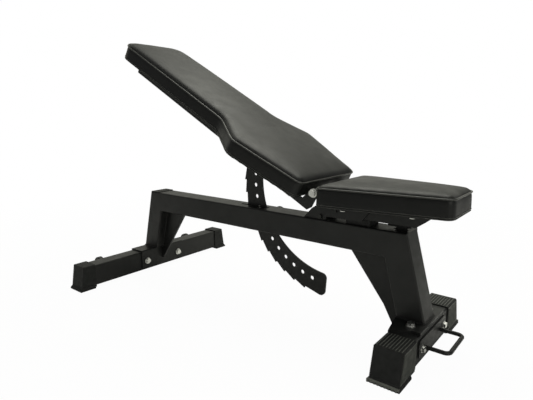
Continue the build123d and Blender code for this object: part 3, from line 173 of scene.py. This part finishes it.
FINISHES = {"powder_coat": POWDER_COAT, "zinc_steel": ZINC, "spring_steel": SPRING_WIRE,
            "foot_rubber": RUBBER, "wheel_plastic": PLASTIC, "knob_plastic": PLASTIC,
            "plywood": PLYWOOD, "leatherette": LEATHERETTE}
# These bolts get the darker copy of the zinc, which paints their shade.
BOLTS_IN_SHADE = ("seat_arm_bolts", "cross_bolt", "cross_nut")
SLOT_OF = {s["node"]: s["material_slot"] for s in frame["record"]["subparts"]}
for name, part in NODES.items():
    part.data.materials.clear()
    part.data.materials.append(SHADED_ZINC if name in BOLTS_IN_SHADE else FINISHES[SLOT_OF[name]])

# ---------------------------------------------------------------- cushions
# A cushion is worked lying flat: its underside down, the hinge line at the origin and the
# head of the bench towards -X. It is turned to its place at the end.
BACK_PLACE = Matrix.Translation(HINGE) @ Matrix.Rotation(BACK_ANGLE, 4, "Y")
SEAT_PLACE = Matrix.Translation(HINGE)
BACK_LOW, BACK_TOP = -34 * MM, 16 * MM      # underside and top edge, from the hinge line
SEAT_LOW, SEAT_TOP = -36 * MM, 18 * MM
MERGE_DIST = 0.01 * MM
CUT_DIST = 1e-7
VOXEL = 5.6 * MM
HELD_ABOVE_LOW = 17 * MM    # the cover is stapled round the board up to here
BACK_RISE, SEAT_RISE = 9 * MM, 8 * MM   # the most that the blown-up cover rises
PRESSURE = 4.0              # blows the cover up evenly; its rise is set above
SIM_FRAMES = 20
EASE_PASSES = 25            # evens the stretch of the cover over the foam
PUFF = 10 * MM              # the foam stands this much proud of the piping
PUFF_REACH = 10 * MM        # and rises over about this width, all round
NECK_PUFF = 5 * MM          # further fullness along the backrest's narrow part
NECK_RUN = (-0.95, -0.86, -0.42, -0.30)     # X where that starts, is full, wanes and ends
EDGE_ZONE = 11 * MM         # depth of the rounded top edge
SIDE_BELOW_TOP = 2 * EDGE_ZONE      # where the side is upright, for its outline
PIPING_R = 2.4 * MM
PIPING_DROP = 1.5 * MM      # centre of the piping, below the top edge
PIPING_OUT = -0.3 * MM      # past the side of the cushion; below zero is sunk into it
TRIM_R = 1.2 * MM
TRIM_OUT = 0.5 * MM
TRIM_TUCK = 1.6 * MM        # the trim is tucked in where the cushion faces the hinge
TRIM_HEIGHTS = (3.5 * MM, 8.5 * MM)     # two rows of trim, above the underside
CORD_ROUNDING = 2           # how finely a cord's section is rounded
LOOP_STEP = 5 * MM          # between the points of an outline
LOOP_PASSES = 2             # of smoothing, round an outline


def flat_copy(node, name, place):
    """The cushion's own solid, merged, laid flat and divided evenly."""
    mesh = NODES[node].data.copy()
    mesh.materials.clear()
    work = bmesh.new()
    work.from_mesh(mesh)
    bmesh.ops.remove_doubles(work, verts=work.verts, dist=MERGE_DIST)
    work.transform(place.inverted())
    work.to_mesh(mesh)
    work.free()
    pad = bpy.data.objects.new(name, mesh)
    bpy.context.scene.collection.objects.link(pad)
    remesh = pad.modifiers.new("remesh", "REMESH")
    remesh.mode = "VOXEL"
    remesh.voxel_size = VOXEL
    bake(pad)
    return pad


def bake(piece):
    """Replace a piece's mesh with what its modifiers make of it."""
    graph = bpy.context.evaluated_depsgraph_get()
    mesh = bpy.data.meshes.new_from_object(piece.evaluated_get(graph))
    piece.modifiers.clear()
    old = piece.data
    piece.data = mesh
    bpy.data.meshes.remove(old)


def points_of(piece):
    """The piece's points, one row each."""
    flat = np.empty(len(piece.data.vertices) * 3)
    piece.data.vertices.foreach_get("co", flat)
    return flat.reshape(-1, 3)


def eased(piece, moved, free):
    """The movement of each point, evened with that of its neighbours."""
    ends = np.empty(len(piece.data.edges) * 2, dtype=np.int64)
    piece.data.edges.foreach_get("vertices", ends)
    one, other = ends[0::2], ends[1::2]
    count = np.bincount(ends, minlength=len(moved))[:, None]
    for _ in range(EASE_PASSES):
        near = np.zeros_like(moved)
        np.add.at(near, one, moved[other])
        np.add.at(near, other, moved[one])
        moved = np.where(free[:, None], 0.5 * moved + 0.5 * near / count, moved)
    return moved


def swell(pads):
    """Blow the covers up together, their stapled edges held, then scale each to its rise."""
    start = {}
    for pad, low, rise in pads:
        held = pad.vertex_groups.new(name="held")
        held.add([v.index for v in pad.data.vertices if v.co.z < low + HELD_ABOVE_LOW],
                 1.0, "REPLACE")
        cloth = pad.modifiers.new("cloth", "CLOTH")
        cloth.settings.vertex_group_mass = "held"
        cloth.settings.use_pressure = True
        cloth.settings.uniform_pressure_force = PRESSURE
        cloth.settings.effector_weights.gravity = 0
        cloth.collision_settings.use_collision = False
        start[pad.name] = points_of(pad)
    for step in range(1, SIM_FRAMES + 1):
        bpy.context.scene.frame_set(step)
    for pad, low, rise in pads:
        bake(pad)
        at = start[pad.name]
        moved = eased(pad, points_of(pad) - at, at[:, 2] > low + HELD_ABOVE_LOW)
        pad.data.vertices.foreach_set("co", (at + moved * rise / moved[:, 2].max()).ravel())
        pad.vertex_groups.clear()
    bpy.context.scene.frame_set(1)


def puff(pad, top, fuller):
    """Raise the top inside its edge, as foam fills the cover right up to the piping."""
    ring = outline(pad, top - SIDE_BELOW_TOP)
    edge = KDTree(len(ring))
    for k, (x, y, _) in enumerate(ring):
        edge.insert((x, y, 0), k)
    edge.balance()
    for v in pad.data.vertices:
        if v.co.z > top - EDGE_ZONE:
            inward = edge.find((v.co.x, v.co.y, 0))[2]
            share = min(1.0, (v.co.z - top + EDGE_ZONE) / EDGE_ZONE)
            height = PUFF + fuller * float(np.interp(v.co.x, NECK_RUN, (0, 1, 1, 0)))
            v.co.z += height * share * (1 - math.exp(-inward / PUFF_REACH))


def outline(pad, height):
    """Points round the cushion's side at one height, evenly spaced and smoothed."""
    cut = bmesh.new()
    cut.from_mesh(pad.data)
    bmesh.ops.bisect_plane(cut, geom=cut.verts[:] + cut.edges[:] + cut.faces[:],
                           dist=CUT_DIST, plane_co=(0, 0, height), plane_no=(0, 0, 1),
                           clear_inner=True, clear_outer=True)
    corner = max(cut.verts, key=lambda v: abs(v.co.x))
    ring, last, here = [corner.co.copy()], None, corner
    while True:
        ahead = [e.other_vert(here) for e in here.link_edges if e.other_vert(here) != last]
        last, here = here, ahead[0]
        if here == corner:
            break
        ring.append(here.co.copy())
    cut.free()
    ring = np.array(ring + ring[:1])
    along = np.concatenate(([0], np.cumsum(np.linalg.norm(np.diff(ring, axis=0), axis=1))))
    even = np.arange(0, along[-1], along[-1] / round(along[-1] / LOOP_STEP))[:-1]
    ring = np.stack([np.interp(even, along, ring[:, k]) for k in range(3)], axis=1)
    for _ in range(LOOP_PASSES):
        ring = (np.roll(ring, 1, axis=0) + 2 * ring + np.roll(ring, -1, axis=0)) / 4
    return ring


def pushed_out(ring, by):
    """The ring moved outwards in plan, square to its own run."""
    run = np.roll(ring, -1, axis=0) - np.roll(ring, 1, axis=0)
    turn = np.sign((ring[:, 0] * run[:, 1] - ring[:, 1] * run[:, 0]).sum())
    square = np.stack((run[:, 1], -run[:, 0], np.zeros(len(ring))), axis=1) * turn
    return ring + by * square / np.linalg.norm(square, axis=1)[:, None]


def tube(name, rings, radius, closed=True):
    """Round cord along each ring of points, as one mesh."""
    curve = bpy.data.curves.new(name, "CURVE")
    curve.dimensions = "3D"
    curve.bevel_depth = radius
    curve.bevel_resolution = CORD_ROUNDING
    curve.use_fill_caps = not closed
    for ring in rings:
        spline = curve.splines.new("POLY")
        spline.points.add(len(ring) - 1)
        spline.points.foreach_set("co", np.c_[ring, np.ones(len(ring))].ravel())
        spline.use_cyclic_u = closed
    cord = bpy.data.objects.new(name, curve)
    mesh = bpy.data.meshes.new_from_object(cord)
    bpy.data.objects.remove(cord)
    bpy.data.curves.remove(curve)
    piece = bpy.data.objects.new(name, mesh)
    bpy.context.scene.collection.objects.link(piece)
    mesh.polygons.foreach_set("use_smooth", [True] * len(mesh.polygons))
    return piece


def edge_cords(pad, low, top, place, body):
    """Piping round the top edge and two thin rows of trim round the bottom of the side."""
    edge = pushed_out(outline(pad, top - SIDE_BELOW_TOP), PIPING_OUT)
    edge[:, 2] = top - PIPING_DROP
    rows = [pushed_out(outline(pad, low + h), TRIM_OUT) for h in TRIM_HEIGHTS]
    for row in rows:
        hinge_end = row[np.abs(row[:, 0]).argmin(), 0]
        near = np.abs(row[:, 0] - hinge_end) < 2 * TRIM_TUCK
        row[near, 0] = hinge_end + math.copysign(TRIM_TUCK, hinge_end)
    for name, rings, radius in (("piping", [edge], PIPING_R), ("trim", rows, TRIM_R)):
        cord = tube(pad.name + "_" + name, rings, radius)
        cord.data.transform(place)
        # Piping and trim take the lighter vinyl: a painted highlight line.
        cord.data.materials.append(PIPING_PAINTED_HIGHLIGHT)
        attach(cord, body)


def finish_cushion(pad, place, body, node):
    """Turn a cushion to its place, smooth it and hand it over."""
    pad.data.transform(place)
    pad.data.materials.append(LEATHERETTE)
    pad.data.polygons.foreach_set("use_smooth", [True] * len(pad.data.polygons))
    smooth = pad.modifiers.new("smooth", "SUBSURF")
    smooth.levels = smooth.render_levels = 1
    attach(pad, body)
    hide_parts(node)


back = flat_copy("back_pad", "backrest_cushion", BACK_PLACE)
seat = flat_copy("seat_pad", "seat_cushion", SEAT_PLACE)
swell([(back, BACK_LOW, BACK_RISE), (seat, SEAT_LOW, SEAT_RISE)])
puff(back, BACK_TOP, NECK_PUFF)
puff(seat, SEAT_TOP, 0)
edge_cords(back, BACK_LOW, BACK_TOP, BACK_PLACE, "backrest")
edge_cords(seat, SEAT_LOW, SEAT_TOP, SEAT_PLACE, "seat")
finish_cushion(back, BACK_PLACE, "backrest", "back_pad")
finish_cushion(seat, SEAT_PLACE, "seat", "seat_pad")

# ---------------------------------------------------------------- weld beads and ribbed rubber
# Heights and runs of the frame, with X from the rear crossbar's middle.
FRAME_REAR_X = -0.566
BEAM_TOP, BEAM_LOW = 328 * MM, 253 * MM
POST_TOP_X, LEG_TOP_X = 26 * MM, 1101 * MM      # outer faces, at the top of the beam
POST_LEAN, LEG_LEAN = math.radians(14.2), math.radians(14.65)       # from upright
TUBE_SIDE = 76 * MM                 # of the post and the leg, square to their run
POST_RUN, LEG_RUN = TUBE_SIDE / math.cos(POST_LEAN), TUBE_SIDE / math.cos(LEG_LEAN)
SADDLE_TOP, BASE_TOP = 91 * MM, 92 * MM
REAR_GUSSET_END = POST_TOP_X + 160 * MM     # where the gussets end under the beam
FRONT_GUSSET_END = LEG_TOP_X - 175 * MM
HALF_TUBE = TUBE_SIDE / 2
HALF_GUSSET = 4 * MM
BEAD_R = 2.2 * MM
BEAD_LIFT = 0.5 * MM                # centre of a bead, outside the corner it fills
BEAD_STEP = 4 * MM
RIPPLE = 0.3 * MM                   # side to side, one puddle of weld after another
RIPPLE_TURN = 900                   # radians per metre of run: a puddle each 7 mm


def bead_line(*corners):
    """Evenly spaced points of a weld run through corners."""
    points = []
    for one, other in zip(corners, corners[1:]):
        one, other = np.array(one), np.array(other)
        count = max(2, round(np.linalg.norm(other - one) / BEAD_STEP))
        points += [one + (other - one) * k / count for k in range(count)]
    points = np.array(points + [np.array(corners[-1])])
    points[:, 0] += FRAME_REAR_X
    return points


def weld_beads():
    """Beads where the post, the leg and the gussets are welded to their neighbours."""
    post_slope, leg_slope = math.tan(POST_LEAN), math.tan(LEG_LEAN)
    post_rear = POST_TOP_X - post_slope * (BEAM_TOP - SADDLE_TOP)
    post_front = post_rear + POST_RUN
    leg_front = LEG_TOP_X + leg_slope * (BEAM_TOP - BASE_TOP)
    leg_rear = leg_front - LEG_RUN
    under_post = POST_TOP_X - post_slope * (BEAM_TOP - BEAM_LOW) + POST_RUN
    under_leg = LEG_TOP_X + leg_slope * (BEAM_TOP - BEAM_LOW) - LEG_RUN
    half = HALF_TUBE + BEAD_LIFT
    runs = []
    for rear, front, foot in ((post_rear, post_front, SADDLE_TOP),
                              (leg_rear, leg_front, BASE_TOP)):
        z = foot + BEAD_LIFT
        runs.append(bead_line((rear, -half, z), (front, -half, z), (front, half, z),
                              (rear, half, z), (rear, -half, z)))
    for side in (-1, 1):
        y = side * (HALF_GUSSET + BEAD_LIFT)
        runs.append(bead_line((post_front, y, SADDLE_TOP), (under_post, y, BEAM_LOW),
                              (REAR_GUSSET_END, y, BEAM_LOW)))
        runs.append(bead_line((leg_rear, y, BASE_TOP), (under_leg, y, BEAM_LOW),
                              (FRONT_GUSSET_END, y, BEAM_LOW)))
    beads = tube("weld_beads", runs, BEAD_R, closed=False)
    for v in beads.data.vertices:
        x, _, z = v.co * RIPPLE_TURN
        v.co += Vector((math.sin(z), math.sin(x), 0)) * RIPPLE
    beads.data.materials.append(POWDER_COAT)
    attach(beads, "frame")


CAP_REAR, CAP_FRONT = 1098 * MM, 1174 * MM   # faces of the front feet
CAP_INNER, CAP_OUTER, CAP_SOLE_OUT = 124 * MM, 202 * MM, 225 * MM
CAP_TOP = 87 * MM
RIB_T = 1.6 * MM
RIB_PROUD = 2.0 * MM
RIB_INSET = 2 * MM                  # ribs stop short of the inner edge and of the top's end
FACE_INSET = 3 * MM                 # and of the sloping end
FACE_RIBS = np.arange(14, 83, 4) * MM       # heights of the ribs on the front and rear faces
TOP_RIBS = np.arange(1103, 1170, 8) * MM    # places of the ribs across the top
TREADS = np.arange(1095, 1175, 9) * MM
TREAD_W = 4.5 * MM
TREAD_LOW, LIP_LOW, LIP_TOP = 0.5 * MM, 5 * MM, 9 * MM
LIP_OUT, LIP_SIDE = 6 * MM, 3 * MM          # lip over the tread, past the foot's end and sides


def rib(work, x0, x1, y0, y1, z0, z1):
    """One bar between two corners."""
    size = Matrix.Diagonal((x1 - x0, y1 - y0, z1 - z0, 1))
    middle = Vector(((x0 + x1) / 2 + FRAME_REAR_X, (y0 + y1) / 2, (z0 + z1) / 2))
    bmesh.ops.create_cube(work, size=1, matrix=Matrix.Translation(middle) @ size)


def ribbed_feet():
    """Moulded ribs on the faces and tops of the front feet, with tread and lip at the ends."""
    work = bmesh.new()
    for side in (-1, 1):
        inner = side * (CAP_INNER + RIB_INSET)
        for z in FACE_RIBS:
            outer = CAP_SOLE_OUT - (CAP_SOLE_OUT - CAP_OUTER) * z / CAP_TOP - FACE_INSET
            y0, y1 = sorted((inner, side * outer))
            for x in (CAP_REAR, CAP_FRONT):
                rib(work, x - RIB_PROUD, x + RIB_PROUD, y0, y1, z - RIB_T / 2, z + RIB_T / 2)
        y0, y1 = sorted((inner, side * (CAP_OUTER - RIB_INSET)))
        for x in TOP_RIBS:
            rib(work, x, x + RIB_T, y0, y1, CAP_TOP - RIB_PROUD, CAP_TOP + RIB_PROUD / 2)
        y0, y1 = sorted((side * CAP_SOLE_OUT, side * (CAP_SOLE_OUT + LIP_OUT)))
        for x in TREADS:
            rib(work, x, x + TREAD_W, y0, y1, TREAD_LOW, LIP_LOW)
        rib(work, CAP_REAR - LIP_SIDE, CAP_FRONT + LIP_SIDE, y0, y1, LIP_LOW, LIP_TOP)
    mesh = bpy.data.meshes.new("front_foot_ribs")
    work.to_mesh(mesh)
    work.free()
    ribs = bpy.data.objects.new("front_foot_ribs", mesh)
    bpy.context.scene.collection.objects.link(ribs)
    # The ribs take the lighter rubber, which paints the light falling on them.
    mesh.materials.append(RIB_LIGHT_RUBBER)
    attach(ribs, "frame")


weld_beads()
ribbed_feet()

# ---------------------------------------------------------------- stage, lights, camera
FLOOR_HALF = 30.0                   # half the floor's side
FLOOR_NEAR, FLOOR_FAR = 1.0, 2.4    # metres from the bench over which the floor turns white
FLOOR_WHITE = 0.97                  # share of white that hides the floor's shade, by the bench
PAPER = "#f4f4f3"
CARD_PLACE = Vector((-2.6, 3.2, 1.6))
CARD_HALF = 7.0                     # half the card's side
CARD_LEVEL = 0.64
CARD_TINT = "#fffff2"
FILL_LIGHT = 0.22
LIGHT_TINT = "#fffff4"
LAMPS = (                           # name, place, what it points at, side in metres, watts
    ("overhead", (0.0, 0.5, 2.4), (0, 0, 0.3), 1.8, 40),
    ("front", (3.2, -1.6, 1.3), (0.4, 0, 0.2), 1.2, 14))
CAMERA_PLACE = (0.9521, -1.1369, 0.6342)
CAMERA_YAW = math.radians(38.85)
CAMERA_PITCH = math.radians(10.87)
CAMERA_ROLL = math.radians(-0.22)
CAMERA_LENS = 29.98
CAMERA_SENSOR = 36.0


def stage_sheet(name, half):
    """A square sheet that isn't part of the object, with an empty material."""
    mesh = bpy.data.meshes.new(name)
    sheet = bmesh.new()
    bmesh.ops.create_grid(sheet, x_segments=1, y_segments=1, size=half)
    sheet.to_mesh(mesh)
    sheet.free()
    piece = bpy.data.objects.new(name, mesh)
    bpy.context.scene.collection.objects.link(piece)
    material = bpy.data.materials.new(name)
    material.use_nodes = True
    material.node_tree.nodes.clear()
    mesh.materials.append(material)
    return piece, material.node_tree


def make_floor():
    """White paper floor: a faint shade stays round the feet and fades out behind."""
    _, tree = stage_sheet("floor", FLOOR_HALF)
    paper = add(tree, "ShaderNodeBsdfDiffuse", {"Color": hex_colour(PAPER)})
    white = add(tree, "ShaderNodeEmission", {"Color": WHITE, "Strength": 1.0})
    path = add(tree, "ShaderNodeLightPath")
    place = add(tree, "ShaderNodeTexCoord")
    reach = add(tree, "ShaderNodeVectorMath", {"operation": "LENGTH"},
                {0: place.outputs["Object"]})
    share = add(tree, "ShaderNodeMapRange",
                {"From Min": FLOOR_NEAR, "From Max": FLOOR_FAR,
                 "To Min": FLOOR_WHITE, "To Max": 1.0},
                {"Value": reach.outputs["Value"]})
    seen = add(tree, "ShaderNodeMath", {"operation": "MULTIPLY"},
               {0: path.outputs["Is Camera Ray"], 1: share.outputs["Result"]})
    mix = add(tree, "ShaderNodeMixShader",
              links={0: seen.outputs[0], 1: paper.outputs[0], 2: white.outputs[0]})
    add(tree, "ShaderNodeOutputMaterial", links={"Surface": mix.outputs[0]})


def light_or_white(tree, kind, tint, level, output):
    """White to the camera, and a light of its own tint and level to everything else."""
    path = add(tree, "ShaderNodeLightPath")
    glow = add(tree, kind, {"Color": tint, "Strength": level})
    white = add(tree, kind, {"Color": WHITE, "Strength": 1.0})
    mix = add(tree, "ShaderNodeMixShader", links={0: path.outputs["Is Camera Ray"],
                                                  1: glow.outputs[0], 2: white.outputs[0]})
    add(tree, output, links={"Surface": mix.outputs[0]})


def make_card():
    """Bright card behind the bench, which the tops of the cushions and tubes reflect."""
    card, tree = stage_sheet("card", CARD_HALF)
    card.location = CARD_PLACE
    facing = Vector((0, 0, CARD_PLACE.z)) - CARD_PLACE
    card.rotation_euler = facing.to_track_quat("Z", "Y").to_euler()
    light_or_white(tree, "ShaderNodeEmission", hex_colour(CARD_TINT), CARD_LEVEL,
                   "ShaderNodeOutputMaterial")


def make_world():
    """Even studio light, white behind the bench."""
    world = bpy.data.worlds.new("studio")
    bpy.context.scene.world = world
    world.use_nodes = True
    world.node_tree.nodes.clear()
    light_or_white(world.node_tree, "ShaderNodeBackground", WHITE, FILL_LIGHT,
                   "ShaderNodeOutputWorld")


def soft_light(name, place, target, size, power):
    """A square area light turned to its target."""
    light = bpy.data.lights.new(name, "AREA")
    light.color = hex_colour(LIGHT_TINT)[:3]
    light.shape = "SQUARE"
    light.size = size
    light.energy = power
    lamp = bpy.data.objects.new(name, light)
    lamp.location = place
    lamp.rotation_euler = (Vector(target) - Vector(place)).to_track_quat("-Z", "Y").to_euler()
    bpy.context.scene.collection.objects.link(lamp)


def make_camera():
    """Camera turned by yaw and pitch round the bench, and rolled a little."""
    camera = bpy.data.cameras.new("camera")
    camera.sensor_width = CAMERA_SENSOR
    camera.lens = CAMERA_LENS
    eye = bpy.data.objects.new("camera", camera)
    bpy.context.scene.collection.objects.link(eye)
    yaw, pitch, roll = CAMERA_YAW, CAMERA_PITCH, CAMERA_ROLL
    back = Vector((math.sin(yaw) * math.cos(pitch), -math.cos(yaw) * math.cos(pitch),
                   math.sin(pitch)))
    level = Vector((math.cos(yaw), math.sin(yaw), 0))
    upright = back.cross(level)
    right = level * math.cos(roll) + upright * math.sin(roll)
    up = upright * math.cos(roll) - level * math.sin(roll)
    turn = Matrix((right, up, back)).transposed().to_4x4()
    eye.matrix_world = Matrix.Translation(CAMERA_PLACE) @ turn
    bpy.context.scene.camera = eye


make_floor()
make_card()
make_world()
for lamp_values in LAMPS:
    soft_light(*lamp_values)
make_camera()
bpy.context.scene.view_settings.view_transform = "Standard"
